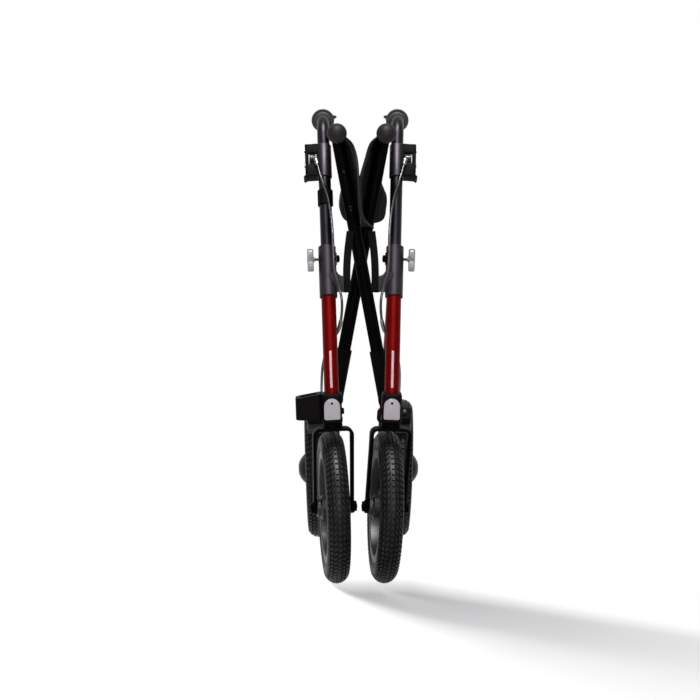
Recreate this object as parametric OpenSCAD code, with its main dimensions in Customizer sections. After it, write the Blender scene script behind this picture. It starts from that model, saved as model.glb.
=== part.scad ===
// All terrain rollator, folded flat from side to side.
// Front of the rollator faces -Y, +Z is up, the floor is Z = 0.

/* [Wheels] */
// Outer diameter of all four tyres
wheel_d = 292; // [260:1:320]
// Width of the tyre section
tyre_w = 46; // [38:1:50]
// Wall of the tyre carcass
tyre_wall = 5; // [3:0.5:7]
// Radial height of the tyre above its seat on the rim
tyre_h = 40; // [34:0.5:44]
// Radial thickness of the rim ring
rim_t = 12; // [8:1:18]
// Thickness of the spokes along the axle
spoke_t = 14; // [8:1:20]
// Pairs of spokes in a wheel
spoke_pairs = 5; // [3:1:8]
// Diameter of the wheel hubs
hub_d = 46; // [36:1:56]
// Diameter of the axles
axle_d = 12; // [8:0.5:14]
// Length of the rear hub along the axle
rear_hub_w = 48; // [40:1:56]
// Distance of the front and rear axles
wheelbase = 500; // [460:5:560]
// Outward offset of the rear wheel from the plane of the side frame
rear_offset = 39; // [38:0.5:48]
// Diameter of the rear hub caps
cap_d = 62; // [54:1:70]
// Height of the hub cap's dome
cap_dome = 15; // [8:1:22]

/* [Side frames] */
// Distance of the two side frames on the floor when folded
track = 89; // [86:1:120]
// Outward lean of the folded side frames
lean = 1.9; // [0:0.1:4]
// Rearward slope of the front legs and handle stems
leg_slope = 25; // [18:1:28]
// Outer diameter of the front leg tube
leg_d = 28; // [27:0.5:32]
// Outer diameter of the rear leg tube
rear_d = 25; // [22:0.5:28]
// Wall of the rear leg and cross strut tubes
tube_wall = 2; // [1:0.25:3]
// Height where the front leg's axis crosses the steering axis
leg_z = 340; // [330:1:360]
// Top end of the front leg along its axis
leg_top = 318; // [300:1:330]
// Length of the clamp sleeve on the front leg
sleeve_len = 102; // [90:1:120]
// Outer diameter of the clamp sleeve
sleeve_d = 34; // [32:0.5:36]
// Height where the rear leg's axis meets the front leg's axis
joint_z = 580; // [560:1:600]
// Outer diameter of the lower rail
lower_d = 22; // [18:0.5:24]

/* [Casters] */
// Distance of the front axle behind the steering axis
trail = 50; // [35:1:65]
// Turn of both casters about the vertical at rest
yaw = 4.6; // [0:0.1:6]
// Outer width of the fork
fork_w = 77; // [72:0.5:79]
// Thickness of the fork's bar
fork_t = 6; // [4:0.5:8]
// Depth of the fork's crown from front to back
crown_d = 34; // [28:1:40]
// Height of the fork crown's underside
crown_z = 300; // [298:1:306]
// Diameter of the steerer
steerer_d = 20; // [16:0.5:22]
// Width of the caster head
head_w = 37; // [35:0.5:42]
// Depth of the caster head from front to back
head_l = 58; // [52:1:66]
// Height of the caster head's top
head_top = 372; // [366:1:384]
// Thickness of the axle nuts
nut_t = 7; // [5:0.5:7]

/* [Cross struts and seat] */
// Height of the hinges on the lower rails
hinge_z = 338; // [334:1:342]
// Distance of each lower hinge from the middle plane when folded
hinge_x = 50; // [48:0.5:52]
// How much longer a strut is below its pivot than above it
strut_step = 18; // [14:1:20]
// Length of a strut from the pivot to its seat rail
strut_up = 255; // [252:1:258]
// Outer diameter of the cross struts
strut_d = 25; // [22:0.5:26]
// Distance of the two struts' planes
strut_pitch = 28; // [27:0.5:34]
// Place of the struts between front and back
strut_y = -120; // [-130:1:-110]
// Length of the sockets at the struts' lower ends
socket_len = 98; // [80:1:102]
// Outer diameter of the seat rails
rail_d = 19; // [16:0.5:20]
// Front end of the seat rails
rail_front = -250; // [-260:1:-245]
// Rear end of the seat rails
rail_rear = -50; // [-60:1:-50]
// Diameter of the ball caps on the seat rails
ball_d = 38; // [32:0.5:40]
// Height of the seat rails when the rollator is unfolded
seat_z = 596; // [590:1:602]
// Thickness of the seat cloth
cloth_t = 2; // [1.5:0.25:2.5]
// Depth of the cloth's fold below the seat rails
fold_depth = 160; // [120:1:168]

/* [Handles and brakes] */
// Outer diameter of the handle stems
stem_d = 24; // [22:0.5:25]
// Wall of the handle stems
stem_wall = 2; // [1.5:0.25:3]
// Height of the handles above the joint of the legs
handle_rise = 301; // [290:1:320]
// Radius of the bend from stem to handle
bend_r = 45; // [35:1:50]
// Length of the stem inside the leg
stem_in = 190; // [170:1:200]
// Length of the grips
grip_len = 125; // [100:1:140]
// Diameter of the grips
grip_d = 31; // [28:0.5:34]
// Diameter of the flange at the grip's front end
flange_d = 45; // [38:0.5:45]
// Distance of the brake clamp's lower end from the stem's bend
clamp_drop = 94.3; // [80:0.1:110]
// Length of the brake clamp along the stem
clamp_len = 70; // [60:1:76]
// Outward reach of the brake clamp's box
clamp_reach = 37; // [34:1:44]
// Thickness of the brake lever
lever_d = 9; // [7:0.5:11]
// Width of the brake lever
lever_w = 12; // [10:0.5:13]
// Drop of the brake lever's blade below the handle
lever_drop = 50; // [46:1:56]
// Diameter of the brake cables
cable_d = 5; // [4:0.5:5]
// Gap of the released brake shoe from the tyre
shoe_gap = 3.5; // [3:0.25:6]
// Reach of the knob's lobes
knob_r = 24; // [20:1:26]
// Thickness of the knob
knob_t = 12; // [9:0.5:14]
// Diameter of the knob's screw
screw_d = 6; // [5:0.5:8]

/* [Cane holder] */
// Bore of the cane cup
cup_bore = 38; // [32:1:39]
// Wall of the cane cup
cup_wall = 6; // [4:0.5:6]
// Height of the cane cup
cup_h = 61; // [50:1:66]

/* [Clearances] */
// Gap of pieces that are seated on each other
fit = 0.1; // [0.05:0.01:0.15]
// Radial clearance of shafts and sliding tubes
run = 0.05; // [0.02:0.01:0.1]
// Gap between pieces that move past each other
clear = 0.5; // [0.3:0.1:1]

/* [Hidden] */
$fn = 64;

// Wheels: radius of the tyre's middle circle, rim seat and axle heights
wheel_r = wheel_d / 2;
tyre_mid = wheel_r - tyre_w / 2;
seat_r = wheel_r - tyre_h;
lip_h = 2;
lip_t = 2.2;
spoke_w = 10;
spoke_half = asin(spoke_w / (hub_d - 8));
bar_waist = 0.4;
lip_at = sqrt(pow(tyre_w / 2, 2) - pow(tyre_mid - seat_r - lip_h, 2)) + 3 * fit;
axle_lift = tyre_mid + tyre_w / 2 / cos(lean);
front_axle_z = axle_lift;
rear_axle_z = axle_lift + rear_offset * tan(lean);

// Front to back: the wheels' outer edges lie evenly about the origin
front_reach = tyre_mid * cos(yaw) + tyre_w / 2;
y_front = (front_reach - wheel_r - wheelbase) / 2;
y_rear = y_front + wheelbase;
y_steer = y_front - trail * cos(yaw);

// Side frame: where the rear leg meets the front leg
y_joint = y_steer + (joint_z - leg_z) * tan(leg_slope);
rear_slope = atan2(y_rear - y_joint, joint_z - rear_axle_z);
rear_len = norm([y_rear - y_joint, joint_z - rear_axle_z]);
leg_bottom = 22;
leg_bore = stem_d + 2 * run;
lug_len = 46;
lug_d = rear_d + 8;
sleeve_top = leg_top + 10;
sleeve_bottom = sleeve_top - sleeve_len;
knob_at = leg_top - 14;
knob_gap = 9.5;
saddle_w = 28;
saddle_h = 38;
past = 60;

// Cross struts: folded and unfolded angles, pivot and seat rails
strut_low = strut_up + strut_step;
fold_min = asin(hinge_x / strut_low);
fold_max = acos((seat_z - hinge_z) / (strut_low + strut_up));
pivot_z = hinge_z + strut_low * cos(fold_min);
rail_x = strut_up * sin(fold_min);
rail_z = pivot_z + strut_up * cos(fold_min);
seat_x = hinge_x - (strut_low - strut_up) * sin(fold_max);
hem_r = rail_d / 2 + 0.3 + cloth_t;
barrel_w = 40;
barrel_d = lower_d + 10;
bolt_d = 8;
socket_d = strut_d + 6;

// Handles: end of the bend, and where the lever turns
handle_z = joint_z + handle_rise;
bend_at = (handle_z - bend_r + bend_r * sin(leg_slope) - leg_z) / cos(leg_slope);
clamp_t = bend_at - clamp_drop;
y_bend = y_steer + bend_at * sin(leg_slope) + bend_r * cos(leg_slope);
grip_at = y_bend + 5;
flange_t = 7;
pivot_t = clamp_t + clamp_len / 2 - 4;
pivot_n = 10;
pivot_pin_d = 6;
lever_x = 22.5;
lever_y = y_steer + pivot_t * sin(leg_slope) + pivot_n * cos(leg_slope);
lever_z = leg_z + pivot_t * cos(leg_slope) - pivot_n * sin(leg_slope);
blade_z = handle_z - lever_drop;

// Rear brake: distances from the rear axle along the rear leg
shoe_t = 14;
shoe_at = wheel_r + shoe_gap;
rod_d = 8;
brake_at = shoe_at + shoe_t + 9;
brake_t = 18;

// Cane cup
cup_x = head_w / 2 + fit + cup_wall + cup_bore / 2;
cup_z = 312;
cup_floor = 8;

// Route of the brake cable: outward, rearward and along the leg's axis
cable_route = [
  [13, -18, cable_at(1)], [9, -19, cable_at(0.905)], [2, -20, cable_at(0.795)], [-8, -19, cable_at(0.637)],
  [-17, -20, cable_at(0.426)], [-24, -22, cable_at(0.216)], [-31, -26, knob_at],
  [-35, -30, 270], [-34, -30, 240], [-29, -22, 212],
  [-24, -8, 188], [-19, 8, 168], [-8, 24, 150], [6, 44, 137], [16, 90, 118],
  [20, 160, 102], [21, 230, 102], [22, 290, 118], [23, 330, 132], [24, 365, 135],
  [24, 399, 122.5]
];
cable_start = unit(cable_route[1] - cable_route[0]);

// Height along the leg of a share of the way from the knob to the brake clamp
function cable_at(share) = knob_at + share * (clamp_t + 20 - knob_at);

module lean_out()
  translate([track / 2, 0, 0]) rotate([0, lean, 0]) children();

// Places a piece of the right side frame, or its mirror image on the left
module side(s) {
  if (s > 0) lean_out() children();
  else mirror([1, 0, 0]) lean_out() children();
}

module on_leg(t)
  translate([0, y_steer, leg_z]) rotate([-leg_slope, 0, 0]) translate([0, 0, t]) children();

module on_rear_leg(d)
  translate([0, y_rear, rear_axle_z]) rotate([rear_slope, 0, 0]) translate([0, 0, d]) children();

module caster(s)
  side(s) translate([0, y_steer, 0]) rotate([0, 0, s * yaw]) children();

module front_wheel(s)
  caster(s) translate([0, trail, front_axle_z]) children();

module rear_wheel(s)
  side(s) translate([rear_offset, y_rear, rear_axle_z]) children();

// Cross strut a runs from upper left to lower right in front, b is its mirror image behind
module strut(s)
  translate([0, strut_y - s * strut_pitch / 2, pivot_z]) rotate([0, -s * fold_min, 0]) children();

module x_axis(from, to, d)
  translate([from, 0, 0]) rotate([0, 90, 0]) cylinder(d = d, h = to - from);

module y_axis(from, to, d)
  translate([0, to, 0]) rotate([90, 0, 0]) cylinder(d = d, h = to - from);

module rod(p, q, d) {
  v = q - p;
  translate(p)
    rotate([0, acos(v[2] / norm(v)), atan2(v[1], v[0])])
      cylinder(d = d, h = norm(v));
}

// Outline of a bar from one point to another, a little narrower between its round ends
module flat_bar(p, q, w) {
  v = q - p;
  translate(p) circle(d = w);
  translate(q) circle(d = w);
  translate(p) rotate(atan2(v[1], v[0])) translate([0, bar_waist - w / 2])
    square([norm(v), w - 2 * bar_waist]);
}

// Bar with round ends in the plane of Y and Z, its thickness along X
module yz_bar(p, q, w, t)
  rotate([90, 0, 90]) linear_extrude(t, center = true) flat_bar(p, q, w);

module rounded_plate(w, l, h, r)
  linear_extrude(h) {
    square([w - 2 * r, l], center = true);
    square([w, l - 2 * r], center = true);
    for (x = [-1, 1], y = [-1, 1])
      translate([x * (w / 2 - r), y * (l / 2 - r)]) circle(r);
  }

// Side frame tubes
module front_leg(s)
  color("darkred") side(s) difference() {
    on_leg(leg_bottom) cylinder(d = leg_d, h = leg_top - leg_bottom);
    on_leg(leg_bottom - 1) cylinder(d = leg_bore, h = leg_top - leg_bottom + 2);
    on_leg(knob_at) x_axis(0, leg_d, screw_d + 2 * run);
  }

module rear_leg(s)
  color("darkred") side(s) difference() {
    on_rear_leg(20) cylinder(d = rear_d, h = rear_len - 20);
    on_rear_leg(19) cylinder(d = rear_d - 2 * tube_wall, h = rear_len);
    on_leg(0) cylinder(d = sleeve_d + 2 * fit, h = leg_top + past);
  }

module lower_rail(s)
  color("#1c1c1e") difference() {
    translate([s * hinge_x, 0, hinge_z])
      y_axis(y_steer + head_l / 2 + fit, y_joint + (joint_z - hinge_z) * tan(rear_slope), lower_d);
    side(s) on_rear_leg(0) cylinder(d = rear_d + 2 * fit, h = rear_len);
  }

module clamp_sleeve(s)
  color("#2a2a2d") side(s) difference() {
    union() {
      on_leg(sleeve_bottom) cylinder(d = sleeve_d, h = sleeve_len);
      on_rear_leg(rear_len - lug_len) difference() {
        cylinder(d = lug_d, h = lug_len);
        translate([0, 0, -1]) cylinder(d = rear_d + 2 * fit, h = lug_len + 2);
      }
    }
    on_leg(0) cylinder(d = leg_d + 2 * fit, h = leg_top + fit);
    on_leg(0) cylinder(d = leg_bore, h = sleeve_top + 1);
    on_leg(knob_at) x_axis(0, sleeve_d, screw_d + 2 * run);
  }

module clamp_knob(s)
  color("#55565a") side(s) on_leg(knob_at) {
    x_axis(stem_d / 2 + clear, sleeve_d / 2 + knob_gap + knob_t / 2, screw_d);
    translate([sleeve_d / 2 + knob_gap, 0, 0]) rotate([0, 90, 0]) linear_extrude(knob_t) {
      circle(d = knob_r);
      for (k = [0:2])
        rotate(120 * k) {
          translate([0, -knob_r / 4]) square([knob_r * 0.75, knob_r / 2]);
          translate([knob_r * 0.75, 0]) circle(d = knob_r / 2);
        }
    }
  }

// Shelf on the inner side of the sleeve, hollowed for the seat rail
module rail_saddle(s) {
  z_mid = seat_z - hem_r - 12;
  y_mid = y_steer + (z_mid - leg_z) * tan(leg_slope);
  color("#232326") mirror([s < 0 ? 1 : 0, 0, 0]) difference() {
    translate([seat_x - 1, y_mid - saddle_w / 2, seat_z - hem_r - 30]) cube([saddle_w, saddle_w, saddle_h]);
    translate([seat_x, 0, seat_z]) y_axis(y_mid - 40, y_mid + 40, 2 * hem_r + 2 * clear);
    side(1) on_leg(0) cylinder(d = sleeve_d + 2 * fit, h = leg_top + past);
    side(1) on_rear_leg(rear_len - lug_len - 1) cylinder(d = lug_d + 2 * fit, h = lug_len + 1);
  }
}

// Caster heads and forks
module caster_head(s)
  color("#1e1e20") side(s) difference() {
    translate([0, y_steer, crown_z + fork_t + 10])
      rounded_plate(head_w, head_l, head_top - crown_z - fork_t - 10, 8);
    on_leg(leg_bottom - fit) cylinder(d = leg_d + 2 * fit, h = leg_top);
    translate([0, y_steer, crown_z]) cylinder(d = steerer_d + 2 * run, h = leg_z - crown_z + 2);
  }

module reflector(s)
  color("#b9babd") side(s)
    translate([0, y_steer - head_l / 2 - fit, crown_z + fork_t + 14])
      rotate([90, 0, 0]) linear_extrude(2.5) {
        translate([-15, 0]) square([30, 25]);
        translate([0, 25]) circle(r = 15);
      }

module fork(s)
  color("#161617") caster(s) difference() {
    union() {
      translate([-fork_w / 2, -crown_d / 2, crown_z]) cube([fork_w, crown_d, fork_t]);
      for (x = [-1, 1])
        translate([x * (fork_w - fork_t) / 2, 0, 0]) {
          yz_bar([0, crown_z - 10], [trail, front_axle_z], 28, fork_t);
          translate([-fork_t / 2, -crown_d / 2, crown_z - 12]) cube([fork_t, crown_d, 13]);
        }
      translate([0, 0, crown_z + fork_t - 1]) cylinder(d = steerer_d + 10, h = 10.7);
      translate([0, 0, crown_z + 1]) cylinder(d = steerer_d, h = leg_z - crown_z);
    }
    translate([0, trail, front_axle_z]) x_axis(-fork_w, fork_w, axle_d + 2 * run);
  }

module front_axle(s)
  color("silver") front_wheel(s) {
    x_axis(-fork_w / 2 - nut_t, fork_w / 2 + nut_t, axle_d);
    for (x = [-1, 1])
      translate([x * (fork_w / 2 + fit + nut_t / 2 - fit / 2), 0, 0]) rotate([0, 90, 0])
        cylinder(d = axle_d + 8, h = nut_t - fit, center = true, $fn = 6);
  }

// Wheels, drawn about the X axis
module tyre()
  color("#1b1b1b") rotate([0, 90, 0]) rotate_extrude() difference() {
    translate([tyre_mid, 0]) circle(d = tyre_w);
    translate([tyre_mid, 0]) circle(d = tyre_w - 2 * tyre_wall);
    translate([0, -tyre_w]) square([seat_r, 2 * tyre_w]);
  }

module rim(hub_w)
  color("#8d8f93") rotate([0, 90, 0]) difference() {
    union() {
      rotate_extrude() {
        translate([seat_r - rim_t, -lip_at - lip_t]) square([rim_t - fit, 2 * (lip_at + lip_t)]);
        for (y = [-lip_at - lip_t, lip_at])
          translate([seat_r - rim_t, y]) square([rim_t + lip_h, lip_t]);
      }
      for (k = [0:spoke_pairs - 1], a = [-1, 1])
        rotate(360 / spoke_pairs * k + a * spoke_half)
          translate([hub_d / 4, -spoke_w / 2, -spoke_t / 2])
            cube([seat_r - rim_t / 2 - hub_d / 4, spoke_w, spoke_t]);
      cylinder(d = hub_d, h = hub_w, center = true);
    }
    cylinder(d = axle_d + 2 * run, h = hub_w + 1, center = true);
  }

module rear_bracket(s)
  color("#1e1e20") side(s) difference() {
    union() {
      translate([0, y_rear, rear_axle_z]) x_axis(-16, rear_offset - rear_hub_w / 2 - clear, 34);
      on_rear_leg(0) cylinder(d = rear_d + 7, h = 46);
    }
    on_rear_leg(20 - fit) cylinder(d = rear_d + 2 * fit, h = past);
    translate([0, y_rear, rear_axle_z]) {
      x_axis(-past, past, axle_d + 2 * run);
      x_axis(rear_offset - rear_hub_w / 2 - clear, past, hub_d + 4);
    }
  }

module rear_axle(s)
  color("silver") side(s) translate([0, y_rear, rear_axle_z]) {
    x_axis(-17, rear_offset + rear_hub_w / 2 + 7, axle_d);
    x_axis(-22, -16 - fit, axle_d + 8);
    translate([rear_offset + rear_hub_w / 2 + clear, 0, 0]) rotate([0, 90, 0])
      cylinder(d = axle_d + 7, h = 6, $fn = 6);
  }

// Deep domed cap over the outer end of the rear hub
module hub_cap(s)
  color("#19191a") rear_wheel(s) rotate([0, 90, 0]) {
    skirt = rear_hub_w / 2;
    dome_r = (pow(cap_d / 2, 2) + pow(cap_dome, 2)) / (2 * cap_dome);
    difference() {
      intersection() {
        translate([0, 0, spoke_t / 2 + fit]) cylinder(d = cap_d, h = skirt + cap_dome);
        translate([0, 0, skirt + cap_dome - dome_r]) sphere(dome_r, $fn = 96);
      }
      cylinder(d = hub_d + 2 * fit, h = skirt + fit);
      cylinder(d = axle_d + 14, h = skirt + 8.5);
    }
  }

// Brakes
module brake_bracket(s)
  color("#1e1e20") side(s) difference() {
    union() {
      on_rear_leg(brake_at) cylinder(d = rear_d + 9, h = brake_t);
      on_rear_leg(brake_at) translate([0, -14, 0]) cube([rear_offset + 14, 28, brake_t]);
    }
    on_rear_leg(0) cylinder(d = rear_d + 2 * fit, h = rear_len);
    on_rear_leg(0) translate([rear_offset, 0, 0]) cylinder(d = rod_d + 2 * run, h = rear_len);
  }

module brake_shoe(s)
  color("#2b2b2b") side(s) on_rear_leg(0) difference() {
    union() {
      translate([rear_offset - 16, -20, shoe_at - 4]) cube([32, 40, shoe_t + 4]);
      translate([rear_offset, 0, shoe_at + 1]) cylinder(d = rod_d, h = brake_at + brake_t + 8 - shoe_at);
    }
    translate([rear_offset, 0, 0]) x_axis(-30, 30, 2 * shoe_at);
  }

module brake_cable(s)
  color("#101010") side(s) on_leg(0) cord(cable_route, cable_d / 2, 3);

// Smooth curve through the points: a place between the second and third of four
function between(a, b, c, d, u) =
  0.5 * (2 * b + (c - a) * u + (2 * a - 5 * b + 4 * c - d) * u * u + (3 * b - a - 3 * c + d) * u * u * u);

function smooth(p, n) = let (last = len(p) - 1) [
  for (i = [0:last - 1], k = [0:n - 1])
    between(p[max(i - 1, 0)], p[i], p[i + 1], p[min(i + 2, last)], k / n),
  p[last]
];

function unit(v) = v / norm(v);

// Tube of eight sides along the smoothed route, closed at both ends
module cord(route, r, n) {
  path = smooth(route, n);
  last = len(path) - 1;
  sides = 8;
  up = [1, 0, 0];
  points = [
    for (i = [0:last])
      let (dir = unit(path[min(i + 1, last)] - path[max(i - 1, 0)]),
           u = unit(up - (up * dir) * dir),
           v = cross(dir, u))
        for (k = [0:sides - 1])
          path[i] + r * (cos(360 / sides * k) * u + sin(360 / sides * k) * v)
  ];
  walls = [
    for (i = [0:last - 1], k = [0:sides - 1])
      let (a = i * sides + k, b = i * sides + (k + 1) % sides)
        each [[a, a + sides, b], [b, a + sides, b + sides]]
  ];
  first_end = [for (k = [1:sides - 2]) [0, k, k + 1]];
  far_end = [for (k = [1:sides - 2]) [last * sides, last * sides + k + 1, last * sides + k]];
  polyhedron(points, concat(walls, first_end, far_end));
}

// Handle stems with what they carry
module stem(s)
  color("#262628") side(s) {
    on_leg(leg_top - stem_in) difference() {
      cylinder(d = stem_d, h = bend_at - leg_top + stem_in);
      translate([0, 0, -1]) cylinder(d = stem_d - 2 * stem_wall, h = bend_at - leg_top + stem_in + 2);
    }
    translate([0, y_bend, handle_z - bend_r]) rotate([90, 0, 90])
      rotate(90) rotate_extrude(angle = 90 - leg_slope) translate([bend_r, 0]) difference() {
        circle(d = stem_d);
        circle(d = stem_d - 2 * stem_wall);
      }
    translate([0, 0, handle_z]) difference() {
      y_axis(y_bend, grip_at + grip_len - 8, stem_d);
      y_axis(y_bend - 1, grip_at + grip_len, stem_d - 2 * stem_wall);
    }
  }

module grip(s)
  color("#141414") side(s) translate([0, grip_at, handle_z]) difference() {
    union() {
      y_axis(0, grip_len - 4, grip_d);
      y_axis(0, flange_t, flange_d);
      y_axis(grip_len - 14, grip_len, grip_d + 4);
    }
    y_axis(-1, grip_len - 8 + fit, stem_d + 2 * fit);
  }

module brake_clamp(s)
  color("#202023") side(s) on_leg(clamp_t) {
    difference() {
      union() {
        cylinder(d = stem_d + 5, h = clamp_len);
        translate([4, -13, 2]) cube([clamp_reach - 4, 30, clamp_len - 4]);
        translate([clamp_reach - 8, -13, 0]) cube([10, 30, 5]);
      }
      translate([0, 0, -1]) cylinder(d = stem_d + 2 * fit, h = clamp_len + 2);
      translate([lever_x - 7.5, -5, 6]) cube([15, 30, clamp_len - 12]);
      translate([lever_x - 7.5, -14, 24]) cube([15, 12, 24]);
    }
    translate([0, pivot_n, pivot_t - clamp_t]) x_axis(lever_x - 8, lever_x + 8, pivot_pin_d);
    translate([0, 0, -clamp_t])
      rod(cable_route[0] - 14 * cable_start, cable_route[0] - 0.3 * cable_start, cable_d + 4);
  }

// Flat bar from the pivot up to the knee, then a level blade that swings in under the grip
module brake_lever(s) {
  knee = [lever_x, y_bend + 8];
  inner = [0, y_bend + 34];
  tip = [0, grip_at + grip_len - 10];
  color("#2a2a2c") side(s) difference() {
    union() {
      translate([lever_x, lever_y, lever_z]) x_axis(-7, 7, pivot_pin_d + 8);
      translate([lever_x, 0, 0]) yz_bar([lever_y, lever_z], [knee[1], blade_z], lever_d, lever_w);
      translate([0, 0, blade_z - lever_d / 2]) linear_extrude(lever_d) {
        flat_bar(knee, inner, lever_w);
        flat_bar(inner, tip, lever_w);
      }
    }
    translate([lever_x, lever_y, lever_z]) x_axis(-20, 20, pivot_pin_d + 2 * run);
  }
}

// Cross struts and seat
module strut_tube(s)
  color("#1b1b1d") strut(s) difference() {
    translate([0, 0, -strut_low + barrel_d / 2 + 4])
      cylinder(d = strut_d, h = strut_low + strut_up - barrel_d / 2 - 4);
    translate([0, 0, -strut_low]) cylinder(d = strut_d - 2 * tube_wall, h = strut_low + strut_up + 20);
    y_axis(-30, 30, bolt_d + 2 * run);
    translate([0, 0, strut_up]) y_axis(-30, 30, rail_d + 2 * fit);
  }

// Barrel that turns on the lower rail, with the sleeve that holds the strut's end
module strut_socket(s)
  color("#1f1f21") strut(s) translate([0, 0, -strut_low]) difference() {
    union() {
      y_axis(-barrel_w / 2, barrel_w / 2, barrel_d);
      cylinder(d = socket_d, h = socket_len);
    }
    translate([0, 0, barrel_d / 2 + 4 - fit]) cylinder(d = strut_d + 2 * fit, h = socket_len);
    y_axis(-barrel_w, barrel_w, lower_d + 2 * run);
  }

module pivot_bolt()
  color("silver") translate([0, strut_y, pivot_z]) {
    reach = strut_pitch / 2 + strut_d / 2;
    y_axis(-reach - 1, reach + 1, bolt_d);
    y_axis(strut_d / 2 - strut_pitch / 2 + clear / 2, strut_pitch / 2 - strut_d / 2 - clear / 2, bolt_d + 8);
    for (y = [-1, 1])
      translate([0, y * (reach + 3 + clear), 0]) y_axis(-3, 3, bolt_d + 7);
  }

module seat_rail(s)
  color("#1b1b1d") translate([-s * rail_x, 0, rail_z]) difference() {
    y_axis(rail_front, rail_rear, rail_d);
    y_axis(rail_front - 1, rail_rear + 1, rail_d - 2 * tube_wall);
  }

module rail_caps(s)
  color("#1a1a1b") translate([-s * rail_x, 0, rail_z]) {
    difference() {
      translate([0, rail_front, 0]) sphere(d = ball_d, $fn = 96);
      y_axis(rail_front - fit, rail_front + ball_d, rail_d + 2 * fit);
    }
    y_axis(rail_rear + fit, rail_rear + 4, rail_d);
    y_axis(rail_rear - 12, rail_rear + 1, rail_d - 2 * tube_wall - 2 * fit);
  }

// Cloth hung from rail to rail, its fold lying between the struts
module seat_sling() {
  inset = strut_d / 2 / cos(fold_min) + 2;
  drop = 26;
  hem_x = rail_x - hem_r + cloth_t / 2;
  side_x = rail_x - drop * tan(fold_min) - inset;
  low_x = max(rail_x - fold_depth * tan(fold_min) - inset, cloth_t + 1);
  half = [[hem_x, rail_z], [side_x, rail_z - drop], [low_x, rail_z - fold_depth]];
  outer = concat(half, [[low_x * 0.4, rail_z - fold_depth - 6]]);
  inner = [for (p = half) p - [cloth_t, -cloth_t / 2]];
  ring_y = [rail_front + ball_d / 2 + 2, rail_rear - 4];
  color("#28262a") difference() {
    union() {
      translate([0, ring_y[1], 0]) rotate([90, 0, 0]) linear_extrude(ring_y[1] - ring_y[0])
        polygon(concat(
          [for (p = outer) [-p[0], p[1]]],
          [for (i = [3:-1:0]) outer[i]],
          inner,
          [for (i = [2:-1:0]) [-inner[i][0], inner[i][1]]]
        ));
      for (x = [-1, 1])
        translate([x * rail_x, 0, rail_z]) y_axis(ring_y[0], ring_y[1], 2 * hem_r);
    }
    for (x = [-1, 1])
      translate([x * rail_x, 0, rail_z]) y_axis(ring_y[0] - 1, ring_y[1] + 1, rail_d + 0.6);
    for (s = [-1, 1])
      strut(s) cylinder(d = strut_d + 2, h = strut_up);
  }
}

// Cane holder on the left side
module cane_cup()
  color("#18181a") side(-1) translate([cup_x, y_steer, cup_z]) difference() {
    union() {
      w = cup_bore + 2 * cup_wall;
      rounded_plate(w, w, cup_h, 9);
    }
    translate([0, 0, cup_floor]) cylinder(d = cup_bore, h = cup_h);
  }

module cane_band()
  color("#18181a") side(-1) on_leg(clamp_t - 58) difference() {
    union() {
      cylinder(d = stem_d + 6, h = 30);
      translate([-5, 0, 0]) cube([10, stem_d / 2 + 9, 30]);
    }
    translate([0, 0, -1]) cylinder(d = stem_d + 2 * fit, h = 32);
  }

front_leg(-1);  // front_leg_left
front_leg(1);  // front_leg_right
clamp_sleeve(-1);  // clamp_sleeve_left
clamp_sleeve(1);  // clamp_sleeve_right
clamp_knob(-1);  // clamp_knob_left
clamp_knob(1);  // clamp_knob_right
rail_saddle(-1);  // rail_saddle_left
rail_saddle(1);  // rail_saddle_right
rear_leg(-1);  // rear_leg_left
rear_leg(1);  // rear_leg_right
lower_rail(-1);  // lower_rail_left
lower_rail(1);  // lower_rail_right
caster_head(-1);  // caster_head_left
caster_head(1);  // caster_head_right
reflector(-1);  // reflector_left
reflector(1);  // reflector_right
fork(-1);  // fork_left
fork(1);  // fork_right
front_axle(-1);  // front_axle_left
front_axle(1);  // front_axle_right
front_wheel(-1) tyre();  // front_tyre_left
front_wheel(1) tyre();  // front_tyre_right
front_wheel(-1) rim(fork_w - 2 * fork_t - 2 * clear);  // front_rim_left
front_wheel(1) rim(fork_w - 2 * fork_t - 2 * clear);  // front_rim_right
rear_bracket(-1);  // rear_bracket_left
rear_bracket(1);  // rear_bracket_right
rear_axle(-1);  // rear_axle_left
rear_axle(1);  // rear_axle_right
rear_wheel(-1) tyre();  // rear_tyre_left
rear_wheel(1) tyre();  // rear_tyre_right
rear_wheel(-1) rim(rear_hub_w);  // rear_rim_left
rear_wheel(1) rim(rear_hub_w);  // rear_rim_right
hub_cap(-1);  // hub_cap_left
hub_cap(1);  // hub_cap_right
brake_bracket(-1);  // brake_bracket_left
brake_bracket(1);  // brake_bracket_right
brake_shoe(-1);  // brake_shoe_left
brake_shoe(1);  // brake_shoe_right
stem(-1);  // stem_left
stem(1);  // stem_right
grip(-1);  // grip_left
grip(1);  // grip_right
brake_clamp(-1);  // brake_clamp_left
brake_clamp(1);  // brake_clamp_right
brake_lever(-1);  // brake_lever_left
brake_lever(1);  // brake_lever_right
brake_cable(-1);  // brake_cable_left
brake_cable(1);  // brake_cable_right
strut_tube(1);  // strut_a
strut_tube(-1);  // strut_b
strut_socket(1);  // strut_socket_a
strut_socket(-1);  // strut_socket_b
pivot_bolt();
seat_rail(1);  // seat_rail_a
seat_rail(-1);  // seat_rail_b
rail_caps(1);  // rail_caps_a
rail_caps(-1);  // rail_caps_b
seat_sling();
cane_cup();
cane_band();
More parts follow.
